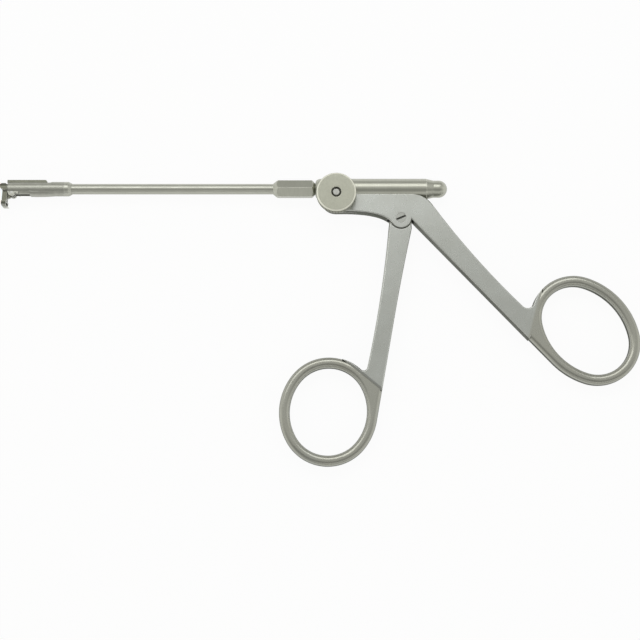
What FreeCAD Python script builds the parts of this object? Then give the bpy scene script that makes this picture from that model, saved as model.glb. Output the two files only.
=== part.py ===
import FreeCAD, Part
import math
import os
from FreeCAD import Vector

# Nasal backbiter forceps, in millimetres, with the jaw open.
# X runs from the tip back to the finger rings, Y from the rings up to the shaft, and Z to the wheel's side.
# The origin is on the axis of the handle pivot, in the flat back face of the handles.

# Handles
plate_thickness = 5.5
tang_thickness = 3.2
side_gap = 0.1
lug_radius = 3.75
root_gap = 0.1
handle_edge = 0.35
corner_fillet = 0.8
ring_thickness = 4.7
ring_band = 3.7
ring_rounding = 1.6
ring_inner_rounding = 1.6
shank_sink = 0.5

# Rear handle
lobe_radius = 5.6
lobe_front_x = -28.5
lower_edge_bend_x = -7.5
lower_edge_rise = 0.4
lug_start_angle = 201.0
notch_angle = -7.4
shoulder_x = 4.5
shoulder_drop = 2.3
shoulder_bend = (8.5, -2.5)
shoulder_end = (11.5, -6.75)
rear_shank_middle = (23.15, -10.85)
rear_shank_angle = 165.2
rear_ring_centre = (64.1, -40.05)
rear_ring_angle = -48.4
rear_ring_length = 34.2
rear_ring_width = 26.0
rear_ring_roundness = 0.885
rear_notch_fillet = 2.3
rear_crease_angle = -105.6
rear_slope_length = 1.4

# Front handle
front_shoulder_left = (-4.15, -1.9)
front_shoulder_right = (3.75, -3.9)
front_left_middle = (-7.45, -28.4)
front_right_middle = (-2.82, -36.97)
front_shank_angle = 43.5
front_ring_centre = (-25.72, -68.6)
front_ring_angle = -95.2
front_ring_length = 30.4
front_ring_width = 26.7
front_ring_roundness = 0.94
front_notch_fillet = 1.3
front_crease_angle = -39.3
front_slope_length = 0.9
root_start_angle = 206.0
root_end_angle = 334.0
tang_radius = 3.5
tang_root_depth = 8.0
slot_radius = 4.8
lever_root_width = 4.2
lever_neck_width = 1.9
lever_head_radius = 1.5

# Motion
shaft_height = 11.1
squeeze_angle = 14.0
jaw_turn = 90.0
running_gap = 0.05
free_gap = 0.1

# Pivot screw
screw_head_diameter = 3.7
screw_head_depth = 0.75
screw_shank_diameter = 2.5
screw_thread_diameter = 2.0
screw_slot_width = 0.6
screw_slot_depth = 0.5
screw_slot_angle = 23.0
flush_depth = 0.05

# Barrel and its end cap
barrel_diameter = 7.4
barrel_front_x = -30.2
barrel_rear_x = 9.2
barrel_front_land = 2.2
barrel_front_rounding = 2.4
chamber_diameter = 5.2
chamber_front_x = -16.0
cap_diameter = 6.1
cap_taper_length = 2.5
cap_end_x = 16.6
cap_spigot_length = 4.0
cap_step = 0.08

# Lock wheel and its stud
wheel_x = -22.9
wheel_drop = 3.0
wheel_diameter = 13.9
wheel_thickness = 3.6
wheel_bevel = 0.45
wheel_recess_diameter = 3.65
wheel_recess_depth = 0.9
washer_diameter = 6.2
washer_thickness = 1.15
stud_diameter = 2.5
stud_thread_diameter = 2.9
stud_head_diameter = 4.4
stud_head_depth = 0.9
stud_tip_chamfer = 0.4
clamp_slit_width = 0.5
clamp_slit_rear_x = -15.5

# Swivel hub
hex_across_flats = 5.8
hex_lean = 5.6
hex_front_x = -43.45
hex_rear_x = -31.5
hex_front_cone = 1.85
hex_rear_cone = 1.2
journal_diameter = 4.0
journal_rear_x = -16.5
groove_diameter = 3.3
tube_seat_x = -36.0

# Shaft tube and rod
tube_diameter = 3.7
tube_bore = 2.3
tube_front_x = -122.4
rod_diameter = 1.9
rod_bore = 2.1
rod_stub_diameter = 1.2

# Spool at the lever
spool_diameter = 4.6
spool_sleeve_diameter = 1.9
spool_flange = 1.2
spool_nut_length = 1.5
spool_pin_diameter = 0.6
spool_nut_flat = 0.35

# Tip
tip_front_x = -139.4
tip_rear_x = -119.4
tip_diameter = 5.15
tip_flat_height = 2.0
tip_flat_rear_x = -125.4
tip_notch_width = 1.9
keel_front_x = -131.6
keel_rear_x = -121.0
keel_depth_front = 2.5
keel_depth_middle = 2.6
keel_depth_rear = 2.3
keel_rounding = 1.2
keel_front_width = 4.6
keel_rear_width = 3.5
cheek_width = 4.4
channel_width = 2.2
window_height = -2.2
ferrule_rear_x = -116.9
ferrule_cylinder_x = -118.0
ferrule_end_diameter = 4.0
cover_front_x = -139.7
cover_width = 2.7
cover_height = 1.1
cover_edge = 0.3
cover_rear_slope = 0.6

# Jaw and its drive
jaw_pin_x = -138.0
jaw_pin_drop = 1.7
jaw_pin_diameter = 1.0
ear_radius = 1.22
jaw_plane = 1.6
jaw_thickness = 2.0
jaw_length = 5.25
jaw_width = 4.4
jaw_plan_radius = 1.9
jaw_foot_radius = 1.15
claw_reach = 0.5
claw_rise = 1.0
claw_tip_height = 0.1
claw_hollow_x = 0.2
claw_hollow_y = 0.45
arm_lean = 0.3
arm_taper = 0.2
arm_width = 2.4
arm_bottom = 2.3
arm_top = 6.2
heel_radius = 1.3
heel_height = 2.55
heel_set_back = 1.45
waist_height = 1.1
heel_stop_height = 3.2
heel_stop_bottom = 0.6
cup_wall = 0.55
cup_depth = 1.0
cup_top = 3.4
lug_thickness = 0.9
lug_pin_radius = 1.25
lug_crank_radius = 0.8
lug_web_top = 0.9
lug_web_bottom = 2.0
lug_web_angle = -60.0
lug_web_overlap = 0.2
drive_pin_diameter = 0.8
drive_pin_gap = 0.12
fork_width = 2.0
fork_gap = 1.0
fork_wall = 0.45
fork_top = 1.6
fork_arm_height = 1.7
fork_body_gap = 4.2
fork_body_length = 2.0
fork_socket_depth = 1.2

# For cutting and picking, not sizes of the object
far = 200.0
past = 1.0
close = 0.0001
near = 0.05
corner_limit = 0.49
rounding_run = 6.0

# Worked out from the sizes above
mid = plate_thickness / 2
ring_step = (plate_thickness - ring_thickness) / 2
shaft_point = Vector(0, shaft_height, mid)
wheel_point = Vector(wheel_x, shaft_height - wheel_drop, 0)
jaw_point = Vector(jaw_pin_x, shaft_height - jaw_pin_drop, mid)
half_squeeze = math.radians(squeeze_angle / 2)
half_turn = math.radians(jaw_turn / 2)
head_x = shaft_height * math.sin(half_squeeze)
crank_radius = head_x / math.sin(half_turn)
crank_x = crank_radius * math.sin(half_turn)
crank_y = crank_radius * math.cos(half_turn)
slot_width = tang_thickness + 2 * side_gap
washer_top = plate_thickness + washer_thickness
wheel_bottom = washer_top + running_gap
wheel_top = wheel_bottom + wheel_thickness
spool_front_face = head_x - lever_head_radius - free_gap
spool_rear_face = head_x + lever_head_radius + free_gap
fork_body_front_x = jaw_pin_x + fork_body_gap
fork_body_rear_x = fork_body_front_x + fork_body_length


def point(xy, z=0.0):
    return Vector(xy[0], xy[1], z)


def polar(radius, angle, centre=(0.0, 0.0)):
    turn = math.radians(angle)
    return Vector(centre[0] + radius * math.cos(turn), centre[1] + radius * math.sin(turn), 0)


def line(start, end):
    return Part.makeLine(start, end)


def arc(start, middle, end):
    return Part.Arc(start, middle, end).toShape()


def bend(start, control, end):
    curve = Part.BezierCurve()
    curve.setPoles([start, control, end])
    return curve.toShape()


def smooth_arc(before, start, end):
    # The arc that carries a straight line on from start to end.
    chord = end - start
    along = (start - before).normalize()
    side = along - chord * (along.dot(chord) / chord.dot(chord))
    half_angle = along.getAngle(chord) / 2
    middle = start + chord / 2
    if side.Length > 0:
        middle = middle + side.normalize() * (chord.Length / 2 * math.tan(half_angle))
    return arc(start, middle, end)


def face_of(edges):
    return Part.Face(Part.Wire(edges))


def polygon(points):
    return Part.Face(Part.makePolygon(points + [points[0]]))


def extrude(face, low, high):
    placed = face.copy()
    placed.translate(Vector(0, 0, low))
    return placed.extrude(Vector(0, 0, high - low))


def disc(radius, centre, low, high):
    return Part.makeCylinder(radius, high - low, Vector(centre.x, centre.y, low))


def bar(diameter, start_x, end_x):
    base = shaft_point + Vector(start_x, 0, 0)
    return Part.makeCylinder(diameter / 2, end_x - start_x, base, Vector(1, 0, 0))


def block(start_x, end_x, low_y, high_y, width):
    corner = Vector(start_x, low_y, mid - width / 2)
    return Part.makeBox(end_x - start_x, high_y - low_y, width, corner)


def turned(edges):
    face = face_of(edges)
    face.translate(shaft_point)
    return face.revolve(shaft_point, Vector(1, 0, 0), 360)


def turned_points(pairs):
    points = [Vector(x, radius, 0) for x, radius in pairs]
    face = polygon(points)
    face.translate(shaft_point)
    return face.revolve(shaft_point, Vector(1, 0, 0), 360)


def oval_arcs(centre, angle, length, width, roundness, out):
    # The four arcs of an oval: the middle and radius of each, and the angles between which it runs.
    end_radius = roundness * width / 2
    side_radius = (length ** 2 / 4 + width ** 2 / 4 - length * end_radius) / (width - 2 * end_radius)
    end_reach = length / 2 - end_radius
    side_reach = side_radius - width / 2
    swing = math.degrees(math.atan2(side_reach, end_reach))
    arcs = []
    for turn in (angle, angle + 180):
        arcs.append((polar(end_reach, turn, centre), end_radius + out, turn - swing, turn + swing))
        side_middle = polar(side_reach, turn - 90, centre)
        arcs.append((side_middle, side_radius + out, turn + swing, turn + 180 - swing))
    return arcs


def oval(arcs):
    edges = []
    for middle, radius, low, high in arcs:
        start, halfway, end = [polar(radius, turn, middle) for turn in (low, (low + high) / 2, high)]
        edges.append(arc(start, halfway, end))
    return Part.Wire(edges)


def tangent_point(start, arcs, side):
    # Where a line from start touches the oval, on the side given by the sign.
    for middle, radius, low, high in arcs:
        reach = start - middle
        if reach.Length > radius:
            swing = math.atan2(reach.y, reach.x) + side * math.acos(radius / reach.Length)
            if (math.degrees(swing) - low) % 360 <= high - low:
                touch = polar(radius, math.degrees(swing), middle)
    return touch


def band_point(centre, outer, angle):
    # A little inside the ring's outer edge, in a direction from its middle.
    middle = point(centre)
    crossing = line(middle, middle + polar(far, angle)).distToShape(outer)[1][0][0]
    return crossing - polar(shank_sink, angle)


def every_edge(edge):
    return True


def upright_edges_near(shape, spot):
    found = []
    for edge in shape.Edges:
        box = edge.BoundBox
        upright = box.XLength < close and box.YLength < close
        if upright and math.hypot(box.XMin - spot.x, box.YMin - spot.y) < near:
            found.append(edge)
    return found


def flat_edges(shape, height, accept):
    found = []
    for edge in shape.Edges:
        box = edge.BoundBox
        level = abs(box.ZMin - height) < close and abs(box.ZMax - height) < close
        if level and accept(edge):
            found.append(edge)
    return found


def crease_tool(notch, angle, slope_length):
    # The shank's side of the crease, which runs from the notch and slopes down to the ring's thickness.
    along = polar(1, angle)
    across = polar(1, angle - 90)
    profile = [(-far, 0.0), (0.0, 0.0)]
    profile += [(slope_length, ring_step), (slope_length, plate_thickness - ring_step)]
    profile += [(0.0, plate_thickness), (-far, plate_thickness)]
    base = notch - along * far
    corners = [base + across * out + Vector(0, 0, height) for out, height in profile]
    return polygon(corners).extrude(along * (2 * far))


def lies_on(edge, outline):
    middle = edge.valueAt((edge.FirstParameter + edge.LastParameter) / 2)
    return Part.Vertex(Vector(middle.x, middle.y, 0)).distToShape(outline)[0] < close


def rims(shape, low, outline):
    # The edges of the lower and upper face that follow an outline drawn at the bottom.
    found = []
    for height in (low, plate_thickness - low):
        found += flat_edges(shape, height, lambda edge: lies_on(edge, outline))
    return found


def ringed_handle(shank, inner_edge, corners, outer, opening, notch_fillet, crease_angle, slope_length):
    # The flat shank and its finger ring, which is a little thinner and rounded.
    notch = inner_edge.distToShape(outer)[1][0][0]
    whole = extrude(shank, 0, plate_thickness)
    whole = whole.fuse(extrude(Part.Face(outer), 0, plate_thickness)).removeSplitter()
    whole = whole.makeFillet(notch_fillet, upright_edges_near(whole, notch))
    for corner in corners:
        whole = whole.makeFillet(corner_fillet, upright_edges_near(whole, corner))
    outline = Part.Compound(flat_edges(whole, 0, every_edge))
    tool = crease_tool(notch, crease_angle, slope_length)
    beyond = crease_tool(notch - polar(rounding_run, crease_angle - 90), crease_angle, 0)
    slab = Part.makeBox(2 * far, 2 * far, ring_thickness, Vector(-far, -far, ring_step))
    ring = whole.common(slab).cut(beyond)
    ring = ring.makeFillet(ring_rounding, rims(ring, ring_step, outline)).cut(tool)
    ring = ring.cut(extrude(Part.Face(opening), -past, plate_thickness + past))
    ring = ring.makeFillet(ring_inner_rounding, rims(ring, ring_step, opening))
    thick = whole.makeChamfer(handle_edge, rims(whole, 0, outline)).common(tool)
    thick = thick.cut(extrude(Part.Face(opening), -past, plate_thickness + past))
    return thick, ring


def tang_slot():
    # The milled slot in the middle of the rear handle, in which the tang and lever swing.
    side = head_x + lever_neck_width / 2 + 3 * free_gap
    top = shaft_height
    passage = polygon([
        Vector(-slot_radius, 0, 0),
        Vector(slot_radius, 0, 0),
        Vector(side, top, 0),
        Vector(-side, top, 0),
    ])
    low = mid - slot_width / 2
    high = mid + slot_width / 2
    return disc(slot_radius, Vector(0, 0, 0), low, high).fuse(extrude(passage, low, high))


def clamp_slit():
    return block(barrel_front_x - past, clamp_slit_rear_x, -lug_radius, shaft_height, clamp_slit_width)


def stud_hole():
    shank = disc(stud_diameter / 2, wheel_point, 0, washer_top)
    head = disc(stud_head_diameter / 2, wheel_point, -past, stud_head_depth + flush_depth)
    return shank.fuse(head)


def screw_hole():
    near_seat = plate_thickness - screw_head_depth - flush_depth
    origin = Vector(0, 0, 0)
    hole = disc(screw_head_diameter / 2, origin, near_seat, plate_thickness + past)
    hole = hole.fuse(disc(screw_shank_diameter / 2, origin, mid, near_seat))
    return hole.fuse(disc(screw_thread_diameter / 2, origin, -past, mid))


def make_rear_handle():
    lobe_bottom = wheel_point - Vector(0, lobe_radius, 0)
    lobe_front = Vector(lobe_front_x, wheel_point.y, 0)
    lobe_corner = wheel_point + polar(lobe_radius, 225)
    lug_start = polar(lug_radius, lug_start_angle)
    lower_bend = Vector(lower_edge_bend_x, lobe_bottom.y + lower_edge_rise, 0)
    notch = polar(lug_radius, notch_angle)
    sizes = (rear_ring_centre, rear_ring_angle, rear_ring_length, rear_ring_width, rear_ring_roundness)
    outer_arcs = oval_arcs(*sizes, ring_band)
    outer = oval(outer_arcs)
    touch = tangent_point(notch, outer_arcs, 1)
    shank_end = band_point(rear_ring_centre, outer, rear_shank_angle)
    top = Vector(0, shaft_height, 0)
    shoulder_low = top + Vector(shoulder_x, -shoulder_drop, 0)
    shoulder_high = top + point(shoulder_end)
    inner_edge = arc(shank_end, point(rear_shank_middle), shoulder_high)
    edges = [
        line(top + Vector(lobe_front_x, 0, 0), lobe_front),
        arc(lobe_front, lobe_corner, lobe_bottom),
        bend(lobe_bottom, lower_bend, lug_start),
        arc(lug_start, polar(lug_radius, 270), notch),
        line(notch, touch),
        line(touch, shank_end),
        inner_edge,
        bend(shoulder_high, top + point(shoulder_bend), shoulder_low),
        line(shoulder_low, top + Vector(shoulder_x, 0, 0)),
        line(top + Vector(shoulder_x, 0, 0), top + Vector(lobe_front_x, 0, 0)),
    ]
    thick, ring = ringed_handle(
        face_of(edges), inner_edge, [lug_start, shoulder_low], outer, oval(oval_arcs(*sizes, 0)),
        rear_notch_fillet, rear_crease_angle + 180, rear_slope_length)
    spot_face = disc(washer_diameter / 2, wheel_point, plate_thickness, wheel_top)
    thick = thick.cut([
        bar(barrel_diameter, barrel_front_x, barrel_rear_x),
        tang_slot(), clamp_slit(), stud_hole(), screw_hole(), spot_face])
    return thick.fuse(ring).removeSplitter()


def lever_outline():
    # The lever stands straight up here and is then leaned back by half of the squeeze.
    root = lever_root_width / 2
    neck = lever_neck_width / 2
    return polygon([
        Vector(-root, 0, 0),
        Vector(root, 0, 0),
        Vector(neck, shaft_height, 0),
        Vector(-neck, shaft_height, 0),
    ])


def make_tang():
    low = mid - tang_thickness / 2
    high = mid + tang_thickness / 2
    root = polygon([
        point(front_shoulder_left),
        Vector(-tang_radius, 0, 0),
        Vector(tang_radius, 0, 0),
        Vector(front_shoulder_right[0], front_shoulder_right[1] / 2, 0),
        point(front_shoulder_right),
        Vector(front_shoulder_right[0] - past, -tang_root_depth, 0),
        Vector(front_shoulder_left[0], -tang_root_depth, 0),
    ])
    lever = extrude(lever_outline(), low, high)
    lever = lever.fuse(disc(lever_head_radius, Vector(0, shaft_height, 0), low, high))
    fork_width_z = spool_sleeve_diameter + 2 * free_gap
    depth = fork_width_z / 2
    beyond = 2 * lever_head_radius
    lever = lever.cut(block(-beyond, beyond, shaft_height - depth, shaft_height + beyond, fork_width_z))
    lever.rotate(Vector(0, 0, 0), Vector(0, 0, 1), -squeeze_angle / 2)
    tang = disc(tang_radius, Vector(0, 0, 0), low, high)
    return tang.fuse([extrude(root, low, high), lever])


def make_front_handle():
    sizes = (front_ring_centre, front_ring_angle, front_ring_length, front_ring_width, front_ring_roundness)
    outer_arcs = oval_arcs(*sizes, ring_band)
    outer = oval(outer_arcs)
    right_middle = point(front_right_middle)
    touch = tangent_point(right_middle, outer_arcs, -1)
    shank_end = band_point(front_ring_centre, outer, front_shank_angle)
    root_radius = lug_radius + root_gap
    root_left = polar(root_radius, root_start_angle)
    root_right = polar(root_radius, root_end_angle)
    inner_edge = arc(point(front_shoulder_left), point(front_left_middle), shank_end)
    edges = [
        inner_edge,
        line(shank_end, touch),
        line(touch, right_middle),
        smooth_arc(touch, right_middle, point(front_shoulder_right)),
        line(point(front_shoulder_right), root_right),
        arc(root_right, polar(root_radius, 270), root_left),
        line(root_left, point(front_shoulder_left)),
    ]
    thick, ring = ringed_handle(
        face_of(edges), inner_edge, [], outer, oval(oval_arcs(*sizes, 0)),
        front_notch_fillet, front_crease_angle, front_slope_length)
    handle = thick.fuse([ring, make_tang()])
    bore = disc(screw_shank_diameter / 2 + running_gap, Vector(0, 0, 0), 0, plate_thickness)
    return handle.cut(bore).removeSplitter()


def make_pivot_screw():
    origin = Vector(0, 0, 0)
    top = plate_thickness - flush_depth
    seat = top - screw_head_depth
    thread_top = mid - slot_width / 2
    screw = disc(screw_head_diameter / 2, origin, seat, top)
    screw = screw.fuse(disc(screw_shank_diameter / 2, origin, thread_top, seat))
    screw = screw.fuse(disc(screw_thread_diameter / 2, origin, flush_depth, thread_top))
    slot_corner = Vector(-screw_head_diameter, -screw_slot_width / 2, top - screw_slot_depth)
    slot = Part.makeBox(2 * screw_head_diameter, screw_slot_width, screw_slot_depth + past, slot_corner)
    slot.rotate(origin, Vector(0, 0, 1), screw_slot_angle)
    return screw.cut(slot).removeSplitter()


def make_barrel():
    outer = barrel_diameter / 2
    land = barrel_front_land
    front = barrel_front_x
    rounding_end = Vector(front + barrel_front_rounding, outer, 0)
    bore = journal_diameter / 2 + running_gap
    chamber = chamber_diameter / 2
    edges = [
        line(Vector(front, bore, 0), Vector(front, land, 0)),
        bend(Vector(front, land, 0), Vector(front, outer, 0), rounding_end),
        line(rounding_end, Vector(barrel_rear_x, outer, 0)),
        line(Vector(barrel_rear_x, outer, 0), Vector(barrel_rear_x, chamber, 0)),
        line(Vector(barrel_rear_x, chamber, 0), Vector(chamber_front_x, chamber, 0)),
        line(Vector(chamber_front_x, chamber, 0), Vector(chamber_front_x, bore, 0)),
        line(Vector(chamber_front_x, bore, 0), Vector(front, bore, 0)),
    ]
    barrel = turned(edges)
    spot_face = disc(washer_diameter / 2, wheel_point, plate_thickness, wheel_top)
    return barrel.cut([tang_slot(), clamp_slit(), stud_hole(), spot_face])


def make_end_cap():
    spigot = chamber_diameter / 2
    start = barrel_diameter / 2 - cap_step
    radius = cap_diameter / 2
    dome_x = cap_end_x - radius
    swell = math.sqrt(0.5)
    dome_middle = Vector(dome_x + radius * swell, radius * swell, 0)
    front = barrel_rear_x - cap_spigot_length
    taper_end = barrel_rear_x + cap_taper_length
    edges = [
        line(Vector(front, 0, 0), Vector(front, spigot, 0)),
        line(Vector(front, spigot, 0), Vector(barrel_rear_x, spigot, 0)),
        line(Vector(barrel_rear_x, spigot, 0), Vector(barrel_rear_x, start, 0)),
        line(Vector(barrel_rear_x, start, 0), Vector(taper_end, radius, 0)),
        line(Vector(taper_end, radius, 0), Vector(dome_x, radius, 0)),
        arc(Vector(dome_x, radius, 0), dome_middle, Vector(cap_end_x, 0, 0)),
        line(Vector(cap_end_x, 0, 0), Vector(front, 0, 0)),
    ]
    return turned(edges)


def make_clamp_stud():
    head_top = stud_head_depth + flush_depth
    stud = disc(stud_head_diameter / 2, wheel_point, flush_depth, head_top)
    stud = stud.fuse(disc(stud_diameter / 2, wheel_point, head_top, washer_top))
    thread = disc(stud_thread_diameter / 2, wheel_point, washer_top, wheel_top - flush_depth)
    tip = flat_edges(thread, wheel_top - flush_depth, every_edge)
    return stud.fuse(thread.makeChamfer(stud_tip_chamfer, tip)).removeSplitter()


def make_wheel_washer():
    washer = disc(washer_diameter / 2, wheel_point, plate_thickness, washer_top)
    return washer.cut(disc(stud_diameter / 2, wheel_point, 0, wheel_top))


def make_lock_wheel():
    wheel = disc(wheel_diameter / 2, wheel_point, wheel_bottom, wheel_top)
    rims = flat_edges(wheel, wheel_bottom, every_edge) + flat_edges(wheel, wheel_top, every_edge)
    wheel = wheel.makeChamfer(wheel_bevel, rims)
    wheel = wheel.cut(disc(stud_thread_diameter / 2 + running_gap, wheel_point, 0, wheel_top))
    recess = disc(wheel_recess_diameter / 2, wheel_point, wheel_top - wheel_recess_depth, wheel_top + past)
    return wheel.cut(recess)


def make_swivel_hub():
    corner = hex_across_flats / 2 / math.cos(math.radians(30))
    journal = journal_diameter / 2
    prism_front = shaft_point + Vector(hex_front_x - hex_front_cone, 0, 0)
    points = []
    for k in range(6):
        turn = math.radians(60 * k - hex_lean)
        points.append(prism_front + Vector(0, corner * math.sin(turn), corner * math.cos(turn)))
    prism_length = hex_rear_x + hex_rear_cone - hex_front_x + hex_front_cone
    prism = polygon(points).extrude(Vector(prism_length, 0, 0))
    cones = turned_points([
        (hex_front_x - hex_front_cone, 0),
        (hex_front_x - hex_front_cone, tube_diameter / 2 + running_gap),
        (hex_front_x, corner),
        (hex_rear_x, corner),
        (hex_rear_x + hex_rear_cone, journal),
        (hex_rear_x + hex_rear_cone, 0),
    ])
    hub = prism.common(cones).fuse(bar(journal_diameter, hex_rear_x, journal_rear_x))
    groove = stud_diameter / 2 + free_gap
    ring = bar(barrel_diameter, wheel_x - groove, wheel_x + groove)
    ring = ring.cut(bar(groove_diameter, wheel_x - groove, wheel_x + groove))
    hub = hub.cut([ring, bar(rod_bore, tube_seat_x - past, journal_rear_x + past)])
    return hub.cut(bar(tube_diameter, hex_front_x - hex_front_cone - past, tube_seat_x)).removeSplitter()


def make_outer_tube():
    return bar(tube_diameter, tube_front_x, tube_seat_x).cut(bar(tube_bore, tube_front_x, tube_seat_x))


def make_ferrule_ring():
    bore = tube_diameter / 2
    return turned_points([
        (tip_rear_x, bore),
        (tip_rear_x, tip_diameter / 2),
        (ferrule_cylinder_x, tip_diameter / 2),
        (ferrule_rear_x, ferrule_end_diameter / 2),
        (ferrule_rear_x, bore),
    ])


def make_keel():
    # The belly of the tip: flat sides that taper to the rear, and a slightly bowed bottom edge.
    length = keel_rear_x - keel_front_x
    front = Vector(keel_front_x, shaft_height - keel_depth_front, 0)
    middle = Vector(keel_front_x + length / 2, shaft_height - keel_depth_middle, 0)
    rear = Vector(keel_rear_x, shaft_height - keel_depth_rear, 0)
    top_front = Vector(keel_front_x, shaft_height, 0)
    top_rear = Vector(keel_rear_x, shaft_height, 0)
    side = face_of([
        line(top_front, front),
        arc(front, middle, rear),
        line(rear, top_rear),
        line(top_rear, top_front),
    ])
    body = extrude(side, mid - tip_diameter, mid + tip_diameter)
    low = shaft_height - tip_diameter
    plan = polygon([
        Vector(keel_front_x, low, mid - keel_front_width / 2),
        Vector(keel_front_x, low, mid + keel_front_width / 2),
        Vector(keel_rear_x, low, mid + keel_rear_width / 2),
        Vector(keel_rear_x, low, mid - keel_rear_width / 2),
    ])
    keel = body.common(plan.extrude(Vector(0, 2 * tip_diameter, 0)))
    bottom_edges = []
    for edge in keel.Edges:
        box = edge.BoundBox
        if box.YMax < shaft_height - keel_depth_rear / 2 and box.XLength > length / 2:
            bottom_edges.append(edge)
    return keel.makeFillet(keel_rounding, bottom_edges)


def make_ears():
    low = mid - cheek_width / 2
    high = mid + cheek_width / 2
    ear = disc(ear_radius, jaw_point, low, high)
    stem = polygon([
        Vector(tip_front_x, shaft_height, 0),
        Vector(tip_front_x, jaw_point.y, 0),
        Vector(jaw_pin_x + ear_radius, jaw_point.y, 0),
        Vector(jaw_pin_x + 2 * ear_radius, shaft_height + window_height, 0),
        Vector(jaw_pin_x + 2 * ear_radius, shaft_height, 0),
    ])
    reach = 2 * ear_radius
    kept = block(tip_front_x, tip_front_x + 2 * reach, jaw_point.y - reach, jaw_point.y + reach, cheek_width)
    return ear.common(kept).fuse(extrude(stem, low, high))


def make_fixed_jaw():
    body = bar(tip_diameter, tip_front_x, tip_rear_x).fuse(make_keel())
    front = tip_front_x - past
    low = shaft_height - tip_diameter
    window_edge = shaft_height + window_height
    body = body.cut(block(front, keel_front_x, low, window_edge, tip_diameter))
    body = body.fuse(make_ears())
    flat_y = shaft_height + tip_flat_height
    body = body.cut(block(front, tip_flat_rear_x, flat_y, flat_y + tip_diameter, tip_diameter))
    notch = polygon([
        Vector(tip_flat_rear_x, shaft_height + tip_diameter, 0),
        Vector(tip_flat_rear_x, flat_y, 0),
        Vector(tip_flat_rear_x + tip_notch_width / 2, flat_y, 0),
        Vector(tip_flat_rear_x + tip_notch_width, shaft_height + tip_diameter / 2, 0),
        Vector(tip_flat_rear_x + tip_notch_width, shaft_height + tip_diameter, 0),
    ])
    channel = block(front, keel_front_x, low, flat_y, channel_width)
    pin_hole = disc(jaw_pin_diameter / 2, jaw_point, mid - cheek_width, mid + cheek_width)
    body = body.cut([
        extrude(notch, mid - tip_diameter, mid + tip_diameter),
        channel, pin_hole,
        bar(rod_bore, keel_front_x - past, tube_front_x + past),
        bar(tube_diameter, tube_front_x, tip_rear_x + past)])
    return body.removeSplitter()


def make_channel_cover():
    base = shaft_height + tip_flat_height
    side = polygon([
        Vector(cover_front_x, base, 0),
        Vector(cover_front_x, base + cover_height, 0),
        Vector(tip_flat_rear_x - cover_rear_slope, base + cover_height, 0),
        Vector(tip_flat_rear_x, base, 0),
    ])
    cover = extrude(side, mid - cover_width / 2, mid + cover_width / 2)
    long_edges = []
    for edge in cover.Edges:
        box = edge.BoundBox
        if box.YMin > base + cover_height - near and box.ZLength < close:
            long_edges.append(edge)
    return cover.makeFillet(cover_edge, long_edges)


def make_jaw_hinge_pin():
    return disc(jaw_pin_diameter / 2, jaw_point, mid - cheek_width / 2, mid + cheek_width / 2)


def jaw_side():
    # The jaw seen from the side: heel above, then a waist, the arm and the foot with its claw.
    back = jaw_point.x - jaw_plane
    front = back - jaw_thickness
    y = jaw_point.y
    foot_y = y - jaw_length
    claw_tip = Vector(back + claw_reach, foot_y + claw_tip_height, 0)
    claw_start = Vector(back - arm_lean, foot_y + claw_rise, 0)
    claw_middle = claw_start + Vector(claw_hollow_x, claw_hollow_y - claw_rise, 0)
    foot_corner = Vector(front + jaw_foot_radius, foot_y, 0)
    foot_side = Vector(front, foot_y + jaw_foot_radius, 0)
    swell = jaw_foot_radius * (1 - math.sqrt(0.5))
    foot_middle = Vector(front + swell, foot_y + swell, 0)
    arm_back = Vector(back, y + waist_height, 0)
    arm_front = Vector(front + arm_taper, y + waist_height, 0)
    arm = face_of([
        line(arm_back, claw_start),
        arc(claw_start, claw_middle, claw_tip),
        line(claw_tip, foot_corner),
        arc(foot_corner, foot_middle, foot_side),
        line(foot_side, arm_front),
        line(arm_front, arm_back),
    ])
    low = mid - jaw_width / 2
    high = mid + jaw_width / 2
    heel_centre = Vector(back - heel_set_back, y + heel_height, 0)
    heel = disc(heel_radius, heel_centre, low, high)
    heel_stop = polygon([
        Vector(back - heel_set_back, y + heel_stop_height, 0),
        Vector(back, y + heel_stop_height, 0),
        Vector(back, y + heel_stop_bottom, 0),
        Vector(back - heel_set_back, y + heel_stop_bottom, 0),
    ])
    return extrude(arm, low, high).fuse([heel, extrude(heel_stop, low, high)])


def jaw_plan(inset, low_y, high_y, depth_from, depth_to):
    # A rounded oblong seen along the shaft, as a solid between two places on X.
    half = jaw_width / 2 - inset
    radius = jaw_plan_radius - inset
    width = 2 * half
    slab = block(depth_from, depth_to, low_y, high_y, width)
    corners = []
    for edge in slab.Edges:
        if edge.BoundBox.XLength > close:
            corners.append(edge)
    return slab.makeFillet(min(radius, corner_limit * width, corner_limit * (high_y - low_y)), corners)


def make_jaw_lug():
    low = mid - lug_thickness / 2
    high = mid + lug_thickness / 2
    crank = jaw_point + Vector(crank_x, crank_y, 0)
    reach = Vector(crank_x, crank_y, 0).normalize()
    side = Vector(-reach.y, reach.x, 0)
    centre = Vector(jaw_point.x, jaw_point.y, 0)
    top = Vector(crank.x, crank.y, 0)
    arm = polygon([
        centre + side * lug_pin_radius,
        centre - side * lug_pin_radius,
        top - side * lug_crank_radius,
        top + side * lug_crank_radius,
    ])
    web_x = jaw_point.x - jaw_plane - lug_web_overlap
    web = polygon([
        Vector(web_x, jaw_point.y + lug_web_top, 0),
        Vector(jaw_point.x, jaw_point.y + lug_web_top, 0),
        centre + polar(lug_pin_radius, lug_web_angle),
        Vector(web_x, jaw_point.y - lug_web_bottom, 0),
    ])
    lug = disc(lug_pin_radius, centre, low, high).fuse(disc(lug_crank_radius, top, low, high))
    return lug.fuse([extrude(arm, low, high), extrude(web, low, high)])


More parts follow.
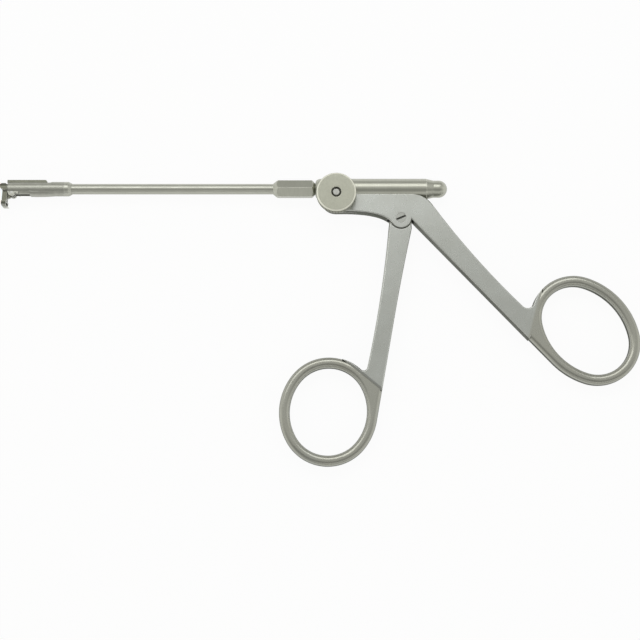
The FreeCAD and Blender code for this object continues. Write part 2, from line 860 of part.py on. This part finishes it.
def make_back_jaw():
    y = jaw_point.y
    back = jaw_point.x - jaw_plane
    top_y = y + heel_height + heel_radius
    foot_y = y - jaw_length
    plan = jaw_plan(0, foot_y, top_y, back - jaw_length, back + jaw_length)
    jaw = jaw_side().common(plan)
    beside = (jaw_width - arm_width) / 2
    for low in (mid - jaw_width / 2, mid + arm_width / 2):
        corner = Vector(back - jaw_length, foot_y + arm_bottom, low)
        jaw = jaw.cut(Part.makeBox(2 * jaw_length, arm_top - arm_bottom, beside, corner))
    cup = jaw_plan(cup_wall, foot_y + cup_wall, y - cup_top, back - cup_depth, back + jaw_length)
    jaw = jaw.cut(cup).fuse(make_jaw_lug())
    bore = disc(jaw_pin_diameter / 2 + running_gap, jaw_point, 0, plate_thickness)
    crank = jaw_point + Vector(crank_x, crank_y, 0)
    pin = disc(drive_pin_diameter / 2, crank, 0, plate_thickness)
    return jaw.cut([bore, pin]).removeSplitter()


def make_drive_pin():
    crank = jaw_point + Vector(crank_x, crank_y, 0)
    return disc(drive_pin_diameter / 2, crank, mid - fork_width / 2, mid + fork_width / 2)


def make_drive_fork():
    # Two prongs beside the jaw's lug, each with an upright slot for the drive pin, open at the bottom.
    slot_half = drive_pin_diameter / 2 + drive_pin_gap
    crank = jaw_point.x + crank_x
    bottom = jaw_point.y + jaw_pin_diameter / 2 + free_gap
    slot_top = jaw_point.y + crank_radius + slot_half
    top = shaft_height + fork_top
    prong = block(crank - slot_half - fork_wall, crank + slot_half + fork_wall, bottom, top, fork_width)
    slot = block(crank - slot_half, crank + slot_half, bottom - past, slot_top, fork_width)
    arm_top = shaft_height + fork_arm_height / 2
    arm_bottom = shaft_height - fork_arm_height / 2
    arm = block(crank + slot_half, fork_body_rear_x, arm_bottom, arm_top, fork_width)
    fork = prong.cut(slot).fuse(arm)
    front = crank - slot_half - fork_wall
    fork = fork.cut(block(front, fork_body_front_x, bottom, top, fork_gap))
    rounding = bar(fork_width + 2 * free_gap, fork_body_front_x, fork_body_rear_x)
    prongs = fork.common(block(front, fork_body_front_x, bottom, top, fork_width))
    body = fork.common(rounding)
    socket = bar(rod_diameter, fork_body_rear_x - fork_socket_depth, fork_body_rear_x)
    return prongs.fuse(body).cut(socket).removeSplitter()


def make_push_rod():
    rod = bar(rod_diameter, fork_body_rear_x - fork_socket_depth, spool_front_face - spool_flange)
    stub_end = spool_rear_face + spool_nut_length
    rod = rod.fuse(bar(rod_stub_diameter, spool_front_face - spool_flange, stub_end))
    return rod.cut(spool_pin_bar()).removeSplitter()


def spool_pin_bar():
    centre = shaft_point + Vector(spool_rear_face + spool_nut_length / 2, 0, 0)
    start = centre - Vector(0, 0, spool_diameter / 2 - free_gap)
    return Part.makeCylinder(spool_pin_diameter / 2, spool_diameter - 2 * free_gap, start)


def make_rod_spool():
    front = spool_front_face - spool_flange
    spool = bar(spool_diameter, front, spool_front_face)
    spool = spool.fuse(bar(spool_sleeve_diameter, spool_front_face, spool_rear_face))
    return spool.cut(bar(rod_stub_diameter, front, spool_rear_face)).removeSplitter()


def make_spool_nut():
    end = spool_rear_face + spool_nut_length
    nut = bar(spool_diameter, spool_rear_face, end)
    half = spool_diameter / 2 - spool_nut_flat
    nut = nut.common(block(spool_rear_face, end, shaft_height - half, shaft_height + half, spool_diameter))
    return nut.cut([bar(rod_stub_diameter, spool_rear_face, end), spool_pin_bar()])


def save(name, shape):
    solids = shape.Solids
    solid = solids[0] if len(solids) == 1 else shape
    print(name, len(solids), "solid", "valid" if shape.isValid() else "NOT VALID", round(shape.Volume, 2))
    solid.exportStep("parts/" + name + ".step")


pieces = {
    "rear_handle": make_rear_handle,
    "front_handle": make_front_handle,
    "pivot_screw": make_pivot_screw,
    "barrel": make_barrel,
    "end_cap": make_end_cap,
    "clamp_stud": make_clamp_stud,
    "wheel_washer": make_wheel_washer,
    "lock_wheel": make_lock_wheel,
    "swivel_hub": make_swivel_hub,
    "outer_tube": make_outer_tube,
    "ferrule_ring": make_ferrule_ring,
    "fixed_jaw": make_fixed_jaw,
    "channel_cover": make_channel_cover,
    "jaw_hinge_pin": make_jaw_hinge_pin,
    "back_jaw": make_back_jaw,
    "drive_pin": make_drive_pin,
    "drive_fork": make_drive_fork,
    "push_rod": make_push_rod,
    "rod_spool": make_rod_spool,
    "spool_nut": make_spool_nut,
    "spool_pin": spool_pin_bar,
}

os.makedirs("parts", exist_ok=True)
for name, make in pieces.items():
    save(name, make())
print("rod travel", round(2 * head_x, 4), "crank radius", round(crank_radius, 4))
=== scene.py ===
import math

import bpy
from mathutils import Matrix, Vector


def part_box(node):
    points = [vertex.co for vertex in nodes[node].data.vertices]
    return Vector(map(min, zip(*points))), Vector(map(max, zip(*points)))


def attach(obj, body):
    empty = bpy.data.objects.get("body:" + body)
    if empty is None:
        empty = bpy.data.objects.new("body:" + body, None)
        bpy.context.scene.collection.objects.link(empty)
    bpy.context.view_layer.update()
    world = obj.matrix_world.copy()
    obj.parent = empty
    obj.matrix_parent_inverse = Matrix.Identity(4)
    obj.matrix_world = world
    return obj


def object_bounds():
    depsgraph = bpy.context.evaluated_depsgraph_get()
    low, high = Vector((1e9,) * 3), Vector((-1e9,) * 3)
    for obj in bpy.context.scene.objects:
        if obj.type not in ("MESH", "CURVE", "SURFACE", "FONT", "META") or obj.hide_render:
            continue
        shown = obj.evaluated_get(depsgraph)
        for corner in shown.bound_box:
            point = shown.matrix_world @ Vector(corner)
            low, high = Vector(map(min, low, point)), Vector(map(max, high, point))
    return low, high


# Nasal backbiter forceps in satin stainless steel, lying on a white table and seen from above.

millimetre = 0.001
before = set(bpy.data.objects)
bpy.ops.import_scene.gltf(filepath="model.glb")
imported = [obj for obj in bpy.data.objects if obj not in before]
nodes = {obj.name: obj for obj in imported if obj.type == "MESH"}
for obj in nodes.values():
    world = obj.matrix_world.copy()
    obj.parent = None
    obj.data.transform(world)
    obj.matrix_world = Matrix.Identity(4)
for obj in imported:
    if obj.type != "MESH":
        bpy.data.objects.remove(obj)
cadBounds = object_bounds()
print("loaded", len(nodes), "CAD nodes")


def linearColor(hexCode):
    channels = []
    for start in (1, 3, 5):
        value = int(hexCode[start:start + 2], 16) / 255
        channels.append(value / 12.92 if value <= 0.04045 else ((value + 0.055) / 1.055) ** 2.4)
    return (*channels, 1.0)


def addNode(tree, kind, settings=None, links=None):
    # settings: names of properties, or input sockets, and their values; links: input socket and its source
    node = tree.nodes.new(kind)
    for name, value in (settings or {}).items():
        if isinstance(name, str) and hasattr(node, name) and name not in node.inputs:
            setattr(node, name, value)
        else:
            node.inputs[name].default_value = value
    for name, source in (links or {}).items():
        tree.links.new(source, node.inputs[name])
    return node


def calculate(tree, operation, first, second=None):
    # second is another socket or a plain number
    node = addNode(tree, "ShaderNodeMath", {"operation": operation}, {0: first})
    if isinstance(second, float):
        node.inputs[1].default_value = second
    elif second is not None:
        tree.links.new(second, node.inputs[1])
    return node.outputs["Value"]


def spread(tree, source, span, results=(0.0, 1.0)):
    # takes the two ends of the span to the two results, evenly between them and no further
    node = addNode(tree, "ShaderNodeMapRange",
                   {"From Min": span[0], "From Max": span[1], "To Min": results[0], "To Max": results[1]},
                   {"Value": source})
    return node.outputs["Result"]


def blend(tree, under, over, share):
    # share 0 shows the color under, a socket or a hex code, and share 1 the hex code over it
    node = addNode(tree, "ShaderNodeMix", {"data_type": "RGBA", 7: linearColor(over)}, {"Factor": share})
    if isinstance(under, str):
        node.inputs[6].default_value = linearColor(under)
    else:
        tree.links.new(under, node.inputs[6])
    return node.outputs[2]


# Materials

steelMasks = {
    "face": (0.1, 0.6),            # Z of the normal, up or down: from flank to face
    "aboveFlank": (0.25, 0.4),     # the same, where a bevel begins
    "belowFace": (0.98, 0.9),      # the same, where it ends
    "cloud": (0.3, 0.7),           # value of the noise
    "grain": (0.35, 0.75),
    "roughness": (0.3, 0.7),
    "edge": (0.995, 0.93),         # likeness of the rounded normal and the plain one
    "hollowShade": (0.8, 0.45),         # open share of the surroundings
}


def makeSteel(finish):
    # Faces and flanks differ: faces are satin after surface grinding, flanks blasted and darker, which is
    # painted shade chosen by the normal. Edges are mostly painted highlight, which also stands for rubbed
    # corners. Sizes are in mm.
    material = bpy.data.materials.new(finish["name"])
    material.use_nodes = True
    tree = material.node_tree
    shader = tree.nodes["Principled BSDF"]
    shader.inputs["Metallic"].default_value = 1.0
    shader.inputs["Specular Tint"].default_value = linearColor(finish.get("grazing", "#FFFFFF"))

    place = addNode(tree, "ShaderNodeTexCoord").outputs["Object"]
    normal = addNode(tree, "ShaderNodeNewGeometry").outputs["Normal"]
    stretch = [1 / (size * millimetre) for size in finish["grainSize"]]
    stretched = addNode(tree, "ShaderNodeMapping", {"Scale": stretch}, {"Vector": place})
    grain = addNode(tree, "ShaderNodeTexNoise", {"Scale": 1.0, "Detail": 3.0, "Roughness": 0.6},
                    {"Vector": stretched.outputs["Vector"]}).outputs["Fac"]
    cloud = addNode(tree, "ShaderNodeTexNoise",
                    {"Scale": 1 / (finish["cloudSize"] * millimetre), "Detail": 2.0},
                    {"Vector": place}).outputs["Fac"]

    normalParts = addNode(tree, "ShaderNodeSeparateXYZ", None, {"Vector": normal}).outputs
    placeParts = addNode(tree, "ShaderNodeSeparateXYZ", None, {"Vector": place}).outputs
    facing = calculate(tree, "ABSOLUTE", normalParts["Z"])
    # painted shade: the flank colour goes where the normal turns sideways
    faceShare = spread(tree, facing, steelMasks["face"])
    color = blend(tree, finish["flank"], finish["face"], faceShare)
    if "sunk" in finish:
        # a face that lies deeper than the handle's two outer faces, as on the rings, takes its own darker
        # colour
        middle, outer, inner = [size * millimetre for size in finish["sunkFrom"]]
        height = calculate(tree, "ABSOLUTE", calculate(tree, "SUBTRACT", placeParts["Z"], middle))
        sunkShare = spread(tree, height, (outer, inner))
        color = blend(tree, color, finish["sunk"], calculate(tree, "MULTIPLY", sunkShare, faceShare))
    if "footHighlight" in finish:
        # painted highlight on the cutting foot, which lies beyond these two places along Y
        span = [size * millimetre for size in finish["footHighlightFrom"]]
        color = blend(tree, color, finish["footHighlight"], spread(tree, placeParts["Y"], span))
    cloudShare = spread(tree, cloud, steelMasks["cloud"], (0.0, finish["cloudShare"]))
    color = blend(tree, color, finish["cloud"], cloudShare)
    grainShare = spread(tree, grain, steelMasks["grain"], (0.0, finish["grainShare"]))
    color = blend(tree, color, finish["grain"], grainShare)

    # the rounded corner differs from the plain normal only at an edge, which takes the edge colour, mostly a
    # painted highlight
    rounded = addNode(tree, "ShaderNodeBevel",
                      {"samples": 6, "Radius": finish["edgeSize"] * millimetre}).outputs["Normal"]
    likeness = addNode(tree, "ShaderNodeVectorMath", {"operation": "DOT_PRODUCT"}, {0: rounded, 1: normal})
    edgeShare = spread(tree, likeness.outputs["Value"], steelMasks["edge"], (0.0, finish["edgeShare"]))
    # wide bevels, which lie between a face and a flank, carry the painted highlight as well on some pieces
    aboveFlank = spread(tree, facing, steelMasks["aboveFlank"], (0.0, finish.get("bevelShare", 0.0)))
    belowFace = spread(tree, facing, steelMasks["belowFace"])
    bevelShare = calculate(tree, "MULTIPLY", aboveFlank, belowFace)
    color = blend(tree, color, finish["edge"], calculate(tree, "MAXIMUM", edgeShare, bevelShare))

    # painted shade: slots, recesses and inner corners darken with how little they see, neighbours too unless
    # ownHollows
    openShare = addNode(tree, "ShaderNodeAmbientOcclusion",
                        {"samples": 8, "only_local": finish.get("ownHollows", True),
                         "Distance": finish["hollowShadeSize"] * millimetre}).outputs["AO"]
    hollowShadeShare = spread(tree, openShare, steelMasks["hollowShade"], (0.0, finish["hollowShadeShare"]))
    color = blend(tree, color, finish["hollowShade"], hollowShadeShare)
    tree.links.new(color, shader.inputs["Base Color"])

    roughness = spread(tree, grain, steelMasks["roughness"], finish["roughness"])
    tree.links.new(roughness, shader.inputs["Roughness"])
    bump = addNode(tree, "ShaderNodeBump",
                   {"Strength": finish["bump"], "Distance": finish["bumpDepth"] * millimetre},
                   {"Height": grain, "Normal": rounded})
    tree.links.new(bump.outputs["Normal"], shader.inputs["Normal"])
    return material


# Forged stainless plate, ground and polished to a soft sheen, with faint lines along the handle.
# Real grit marks are 0.05 mm apart; they are drawn as soft streaks 1 mm apart so that they show.
# The rings are thinner than the shanks and lie below both outer faces: their faces take a darker colour. they
# keep a darker skin.
# painted shade on the dark flanks and hollows, painted highlight on the edges
satinPlate = makeSteel({
    "name": "satinGroundStainless", "face": "#BEC1BC", "flank": "#5E5F59", "cloud": "#A9ABA4",
    "cloudSize": 11.0, "cloudShare": 0.5, "grain": "#A4A59E", "grainSize": (1.0, 2.2, 1.0),
    "grainShare": 0.25, "edge": "#F2F3EE", "edgeSize": 0.25, "edgeShare": 0.8,
    "hollowShade": "#45463F", "hollowShadeSize": 0.6, "hollowShadeShare": 0.6,
    "grazing": "#A8A9A6", "sunk": "#ADADA2",
    "sunkFrom": (2.75, 2.6, 2.4),      # height of the plate's middle, then distances from it
    "roughness": (0.26, 0.31), "bump": 0.01, "bumpDepth": 0.01})

# Bead-blasted stainless: even, matt and slightly warm. The rim under its ridges is painted dark as shade, the
# bevels bright as highlight.
blastedWheel = makeSteel({
    "name": "blastedStainless", "face": "#B6B7A9", "flank": "#55564C", "cloud": "#AAAB9D",
    "cloudSize": 4.0, "cloudShare": 0.4, "grain": "#9A9B8E", "grainSize": (0.35, 0.35, 0.35),
    "grainShare": 0.35, "edge": "#F2F2E4", "edgeSize": 0.3, "edgeShare": 0.8, "bevelShare": 1.0,
    "hollowShade": "#3E3F38", "hollowShadeSize": 1.2, "hollowShadeShare": 0.8, "grazing": "#77786E",
    "roughness": (0.42, 0.52), "bump": 0.12, "bumpDepth": 0.02})

# The ridges of the rim are the same steel, lighter than the painted shade on the rim between them.
knurlRidgeSteel = makeSteel({
    "name": "knurlRidgeStainless", "face": "#B2B3A6", "flank": "#AEAFA2", "cloud": "#9C9D91",
    "cloudSize": 2.0, "cloudShare": 0.4, "grain": "#7A7B70", "grainSize": (0.2, 0.2, 0.5),
    "grainShare": 0.3, "edge": "#DCDCD0", "edgeSize": 0.05, "edgeShare": 0.5,
    "hollowShade": "#3E3F38", "hollowShadeSize": 0.3, "hollowShadeShare": 0.5,
    "roughness": (0.38, 0.48), "bump": 0.08, "bumpDepth": 0.01})

# Turned and satin-finished round stock: faint lines round the axis, warm grey.
turnedSatin = makeSteel({
    "name": "turnedStainless", "face": "#BDBEB2", "flank": "#A9AA9E", "cloud": "#AEAFA3",
    "cloudSize": 6.0, "cloudShare": 0.4, "grain": "#9B9C90", "grainSize": (0.25, 3.0, 3.0),
    "grainShare": 0.3, "edge": "#F6F6EA", "edgeSize": 0.2, "edgeShare": 0.9,
    "hollowShade": "#55564C", "hollowShadeSize": 0.8, "hollowShadeShare": 0.5,
    "roughness": (0.28, 0.36), "bump": 0.06, "bumpDepth": 0.02})

# Drawn tube, polished lengthwise with fine belt marks.
drawnTube = makeSteel({
    "name": "drawnTubeStainless", "face": "#C4C5BA", "flank": "#A5A69B", "cloud": "#B0B1A6",
    "cloudSize": 7.0, "cloudShare": 0.35, "grain": "#94958B", "grainSize": (4.0, 0.25, 0.25),
    "grainShare": 0.3, "edge": "#D2D3C9", "edgeSize": 0.08, "edgeShare": 0.3,
    "hollowShade": "#3F4038", "hollowShadeSize": 0.6, "hollowShadeShare": 0.6,
    "roughness": (0.3, 0.4), "bump": 0.05, "bumpDepth": 0.02})

# The small tip is milled and hand-finished, with fine marks in no set direction.
milledTip = makeSteel({
    "name": "milledStainless", "face": "#B8B9AF", "flank": "#AFB0A6", "cloud": "#A3A49A",
    "cloudSize": 1.8, "cloudShare": 0.5, "grain": "#86877E", "grainSize": (0.5, 0.25, 0.25),
    "grainShare": 0.35, "edge": "#E8E8E0", "edgeSize": 0.12, "edgeShare": 0.7,
    # painted shade in the hollows, from neighbouring pieces too
    "hollowShade": "#2A2B26", "hollowShadeSize": 0.8, "hollowShadeShare": 0.95, "ownHollows": False,
    "roughness": (0.36, 0.46), "bump": 0.08, "bumpDepth": 0.015})

# The strip on top was brazed on and only brushed after: darker and warmer than the tip.
brazedStrip = makeSteel({
    "name": "brushedBrazedStainless", "face": "#7E7F72", "flank": "#74756A", "cloud": "#6E6F63",
    "cloudSize": 2.5, "cloudShare": 0.5, "grain": "#65665C", "grainSize": (1.2, 0.2, 0.2),
    "grainShare": 0.35, "edge": "#B9BAAE", "edgeSize": 0.1, "edgeShare": 0.7,
    # painted shade in the hollows, from neighbouring pieces too
    "hollowShade": "#2A2B26", "hollowShadeSize": 0.8, "hollowShadeShare": 0.95, "ownHollows": False,
    "roughness": (0.3, 0.4), "bump": 0.08, "bumpDepth": 0.015})

# The jaw is hardened; its darker colour is painted shade, and its corners and cutting foot carry painted
# highlight.
jawWithPaintedLight = makeSteel({
    "name": "jawStainlessPaintedLight", "face": "#737467", "flank": "#7C7D72", "cloud": "#66675C",
    "cloudSize": 2.0, "cloudShare": 0.5, "grain": "#5C5D55", "grainSize": (0.3, 0.5, 0.3),
    "grainShare": 0.35, "edge": "#F2F2EA", "edgeSize": 0.22, "edgeShare": 0.9,
    "hollowShade": "#33342E", "hollowShadeSize": 0.3, "hollowShadeShare": 0.4,
    "footHighlight": "#CFD0C8", "footHighlightFrom": (5.6, 5.1),
    "roughness": (0.27, 0.36), "bump": 0.08, "bumpDepth": 0.015})

# Pins and the stud are turned and left so; their hollows are painted dark as shade.
turnedPin = makeSteel({
    "name": "turnedPinStainless", "face": "#B9BAB5", "flank": "#A5A6A1", "cloud": "#A0A19A",
    "cloudSize": 1.5, "cloudShare": 0.5, "grain": "#85867F", "grainSize": (0.3, 0.3, 0.3),
    "grainShare": 0.3, "edge": "#EDEDEB", "edgeSize": 0.12, "edgeShare": 0.7,
    "hollowShade": "#23241F", "hollowShadeSize": 1.4, "hollowShadeShare": 1.0,
    "roughness": (0.28, 0.38), "bump": 0.05, "bumpDepth": 0.01})

# The pivot screw lies flush: its slot and flanks are painted dark as shade; the fine joint round its head is
# dark.
screwWithPaintedShade = makeSteel({
    "name": "flushScrewStainless", "face": "#B4B6B0", "flank": "#3A3B35", "cloud": "#A0A29B",
    "cloudSize": 1.5, "cloudShare": 0.5, "grain": "#8E8F88", "grainSize": (0.3, 0.3, 0.3),
    "grainShare": 0.3, "edge": "#4A4B44", "edgeSize": 0.22, "edgeShare": 1.0,
    "hollowShade": "#1C1D19", "hollowShadeSize": 1.4, "hollowShadeShare": 1.0,
    "roughness": (0.28, 0.36), "bump": 0.04, "bumpDepth": 0.01})

# Rod and fork inside: plain ground stock.
groundRod = makeSteel({
    "name": "groundRodStainless", "face": "#A8A9A3", "flank": "#8C8D87", "cloud": "#9A9B95",
    "cloudSize": 3.0, "cloudShare": 0.4, "grain": "#85867F", "grainSize": (0.6, 0.3, 0.3),
    "grainShare": 0.3, "edge": "#C9CAC4", "edgeSize": 0.06, "edgeShare": 0.4,
    "hollowShade": "#3A3B34", "hollowShadeSize": 0.6, "hollowShadeShare": 0.7,
    "roughness": (0.3, 0.42), "bump": 0.05, "bumpDepth": 0.01})

finishOf = {
    "rear_handle": satinPlate, "front_handle": satinPlate,
    "lock_wheel": blastedWheel,
    "barrel": turnedSatin, "end_cap": turnedSatin, "swivel_hub": turnedSatin,
    "outer_tube": drawnTube, "ferrule_ring": drawnTube,
    "fixed_jaw": milledTip, "channel_cover": brazedStrip, "back_jaw": jawWithPaintedLight,
    "pivot_screw": screwWithPaintedShade, "clamp_stud": turnedPin, "wheel_washer": turnedPin,
    "jaw_hinge_pin": turnedPin, "drive_pin": turnedPin, "spool_pin": turnedPin,
    "push_rod": groundRod, "drive_fork": groundRod, "rod_spool": groundRod, "spool_nut": groundRod,
}
for name, node in nodes.items():
    node.data.materials.clear()
    node.data.materials.append(finishOf[name])
print("materials set")


# Knurl of the lock wheel: straight ridges along the wheel's axis, all round the rim

knurl = {
    "teeth": 80,           # 0.55 mm apart on this rim
    "sides": 4,            # each ridge is a square bar that stands on its edge
    "ridge": 0.19,         # half the width of a ridge, in mm
    "sink": 0.06,          # how deep the ridge's middle sits in the rim
    "bevel": 0.5,          # plain bevel left above and below
}


def makeKnurlTree(material):
    tree = bpy.data.node_groups.new("rimKnurl", "GeometryNodeTree")
    face = tree.interface
    face.new_socket("Geometry", in_out="INPUT", socket_type="NodeSocketGeometry")
    face.new_socket("Teeth", in_out="INPUT", socket_type="NodeSocketInt")
    for label in ("Rim Radius", "Ridge Radius", "Length"):
        face.new_socket(label, in_out="INPUT", socket_type="NodeSocketFloat")
    face.new_socket("Centre", in_out="INPUT", socket_type="NodeSocketVector")
    face.new_socket("Geometry", in_out="OUTPUT", socket_type="NodeSocketGeometry")
    given = tree.nodes.new("NodeGroupInput").outputs
    rim = addNode(tree, "GeometryNodeMeshCircle", None,
                  {"Vertices": given["Teeth"], "Radius": given["Rim Radius"]})
    ridge = addNode(tree, "GeometryNodeMeshCylinder", {"Vertices": knurl["sides"]},
                    {"Radius": given["Ridge Radius"], "Depth": given["Length"]})
    place = addNode(tree, "GeometryNodeInputPosition")
    turn = addNode(tree, "FunctionNodeAlignEulerToVector", {"axis": "X"}, {"Vector": place.outputs[0]})
    ridges = addNode(tree, "GeometryNodeInstanceOnPoints", None,
                     {"Points": rim.outputs["Mesh"], "Instance": ridge.outputs["Mesh"],
                      "Rotation": turn.outputs["Rotation"]})
    moved = addNode(tree, "GeometryNodeTransform", None,
                    {"Geometry": ridges.outputs["Instances"], "Translation": given["Centre"]})
    solid = addNode(tree, "GeometryNodeRealizeInstances", None, {"Geometry": moved.outputs["Geometry"]})
    dressed = addNode(tree, "GeometryNodeSetMaterial", {"Material": material},
                      {"Geometry": solid.outputs["Geometry"]})
    out = tree.nodes.new("NodeGroupOutput")
    tree.links.new(dressed.outputs["Geometry"], out.inputs["Geometry"])
    return tree


def runTree(name, tree, values, material):
    # evaluates the tree once and keeps the result as a plain mesh
    holder = bpy.data.objects.new(name + "Holder", bpy.data.meshes.new(name + "Holder"))
    bpy.context.scene.collection.objects.link(holder)
    modifier = holder.modifiers.new(name, "NODES")
    modifier.node_group = tree
    for item in tree.interface.items_tree:
        if item.item_type == "SOCKET" and item.in_out == "INPUT" and item.name in values:
            modifier[item.identifier] = values[item.name]
    depsgraph = bpy.context.evaluated_depsgraph_get()
    mesh = bpy.data.meshes.new_from_object(holder.evaluated_get(depsgraph))
    bpy.data.objects.remove(holder)
    mesh.name = name
    mesh.materials.clear()
    mesh.materials.append(material)
    piece = bpy.data.objects.new(name, mesh)
    bpy.context.scene.collection.objects.link(piece)
    return piece


low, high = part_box("lock_wheel")
rimRadius = (high.x - low.x) / 2
wheelKnurl = runTree("wheelKnurl", makeKnurlTree(knurlRidgeSteel), {
    "Teeth": knurl["teeth"],
    "Rim Radius": rimRadius - knurl["sink"] * millimetre,
    "Ridge Radius": knurl["ridge"] * millimetre,
    "Length": high.z - low.z - 2 * knurl["bevel"] * millimetre,
    "Centre": tuple((low + high) / 2),
}, knurlRidgeSteel)
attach(wheelKnurl, "wheel")
print("knurl made")


# Table, light and camera: a bright room above a white table, as in a product photograph

studio = {
    "tableGap": 0.05,            # mm under the lowest point of the instrument
    "tableSize": 3.0,            # m
    "tableColor": "#F4F4F2",
    "tableRoughness": 0.9,
    "tableWhite": 0.94,          # share of plain white that the camera sees of the table
    "surround": "#FFFFFC",       # what the metal sees round the lights
    # level of the room by the angle from straight up, in degrees: below 0 on the side of the finger rings
    "roomLevels": [(-180, 0.55), (-100, 0.5), (-75, 0.52), (-52, 0.62), (-32, 0.36), (-16, 0.34), (-2, 0.6),
                   (8, 0.72), (16, 0.62), (60, 0.5), (85, 0.55), (180, 0.55)],
    "endLevel": 0.45,            # what the white walls at the two ends of the instrument add
    "endSpan": (0.5, 0.95),      # where they begin and where they are full, as the sideways share
    "backdropSpan": (0.12, 0.03),    # heights above the horizon where the white backdrop ends and is full
    "lightCenter": (-0.03, -0.03, 0.0),
}
# name, direction, distance and size in m, power in W
softboxes = [
    ("keySoftbox", (-0.1, 0.54, 0.84), 0.75, (0.8, 0.34), 1.3),
    ("fillSoftbox", (0.3, -0.75, 0.62), 0.9, (0.9, 0.3), 0.25),
]


def makeTableMaterial():
    # the camera and the metal's reflections see the table almost white; its shadow stays
    material = bpy.data.materials.new("whiteTable")
    material.use_nodes = True
    tree = material.node_tree
    shader = tree.nodes["Principled BSDF"]
    shader.inputs["Base Color"].default_value = linearColor(studio["tableColor"])
    shader.inputs["Roughness"].default_value = studio["tableRoughness"]
    rays = addNode(tree, "ShaderNodeLightPath").outputs
    seen = calculate(tree, "MAXIMUM", rays["Is Camera Ray"], rays["Is Glossy Ray"])
    seen = calculate(tree, "MAXIMUM", seen, rays["Is Transmission Ray"])
    share = calculate(tree, "MULTIPLY", seen, studio["tableWhite"])
    glow = addNode(tree, "ShaderNodeEmission", {"Color": (1, 1, 1, 1), "Strength": 1.0})
    mixed = addNode(tree, "ShaderNodeMixShader", None,
                    {0: share, 1: shader.outputs["BSDF"], 2: glow.outputs["Emission"]})
    tree.links.new(mixed.outputs["Shader"], tree.nodes["Material Output"].inputs["Surface"])
    return material


def makeTable():
    half = studio["tableSize"] / 2
    height = cadBounds[0][2] - studio["tableGap"] * millimetre
    corners = [(-half, -half, height), (half, -half, height), (half, half, height), (-half, half, height)]
    mesh = bpy.data.meshes.new("table")
    mesh.from_pydata(corners, [], [(0, 1, 2, 3)])
    mesh.materials.append(makeTableMaterial())
    table = bpy.data.objects.new("table", mesh)
    bpy.context.scene.collection.objects.link(table)


def makeWorld():
    # a room of plain walls: darker where the camera stands, white at the two ends
    world = bpy.data.worlds.new("studio")
    bpy.context.scene.world = world
    world.use_nodes = True
    tree = world.node_tree
    coords = addNode(tree, "ShaderNodeTexCoord")
    parts = addNode(tree, "ShaderNodeSeparateXYZ", None, {"Vector": coords.outputs["Generated"]}).outputs
    angle = calculate(tree, "ARCTAN2", parts["Y"], parts["Z"])
    ramp = addNode(tree, "ShaderNodeValToRGB", None, {"Fac": spread(tree, angle, (-math.pi, math.pi))})
    stops = ramp.color_ramp.elements
    levels = studio["roomLevels"]
    while len(stops) < len(levels):
        stops.new(0.5)
    for stop, (degrees, level) in zip(stops, levels):
        stop.position = (degrees + 180) / 360
        stop.color = (level, level, level, 1)
    ramp.color_ramp.interpolation = "EASE"
    ends = spread(tree, calculate(tree, "ABSOLUTE", parts["X"]), studio["endSpan"], (0.0, studio["endLevel"]))
    room = addNode(tree, "ShaderNodeBackground", {"Color": linearColor(studio["surround"])},
                   {"Strength": calculate(tree, "ADD", ramp.outputs["Color"], ends)})
    white = addNode(tree, "ShaderNodeBackground", {"Color": (1, 1, 1, 1), "Strength": 1.0})
    # the backdrop behind the table is white and low: the metal shows it only near the horizon
    rays = addNode(tree, "ShaderNodeLightPath").outputs
    mirrored = calculate(tree, "MAXIMUM", rays["Is Glossy Ray"], rays["Is Transmission Ray"])
    nearHorizon = spread(tree, parts["Z"], studio["backdropSpan"])
    backdrop = calculate(tree, "MULTIPLY", mirrored, nearHorizon)
    seen = calculate(tree, "MAXIMUM", rays["Is Camera Ray"], backdrop)
    mixed = addNode(tree, "ShaderNodeMixShader", None,
                    {0: seen, 1: room.outputs["Background"], 2: white.outputs["Background"]})
    tree.links.new(mixed.outputs["Shader"], tree.nodes["World Output"].inputs["Surface"])


def addSoftbox(name, direction, distance, size, power):
    light = bpy.data.lights.new(name, "AREA")
    light.shape = "RECTANGLE"
    light.size, light.size_y = size
    light.energy = power
    lamp = bpy.data.objects.new(name, light)
    bpy.context.scene.collection.objects.link(lamp)
    aim = Vector(direction).normalized()
    lamp.location = Vector(studio["lightCenter"]) + aim * distance
    lamp.rotation_euler = aim.to_track_quat("Z", "Y").to_euler()


def makeCamera():
    # The photograph looks almost straight down, tipped a little towards the finger rings. Lengths are in mm.
    view = {"lookAt": (-28.607, -36.261, 2.75), "tilt": 10.5, "distance": 500.0, "lens": 80.36,
            "sensor": 36.0, "nearest": 10.0}
    data = bpy.data.cameras.new("camera")
    data.lens = view["lens"]
    data.sensor_width = view["sensor"]
    data.clip_start = view["nearest"] * millimetre
    camera = bpy.data.objects.new("camera", data)
    bpy.context.scene.collection.objects.link(camera)
    tilt = math.radians(view["tilt"])
    away = Vector((0, -math.sin(tilt), math.cos(tilt))) * view["distance"]
    camera.location = (Vector(view["lookAt"]) + away) * millimetre
    camera.rotation_euler = (tilt, 0, 0)
    bpy.context.scene.camera = camera


makeTable()
makeWorld()
for softbox in softboxes:
    addSoftbox(*softbox)
makeCamera()
bpy.context.scene.view_settings.view_transform = "Standard"
print("studio set")
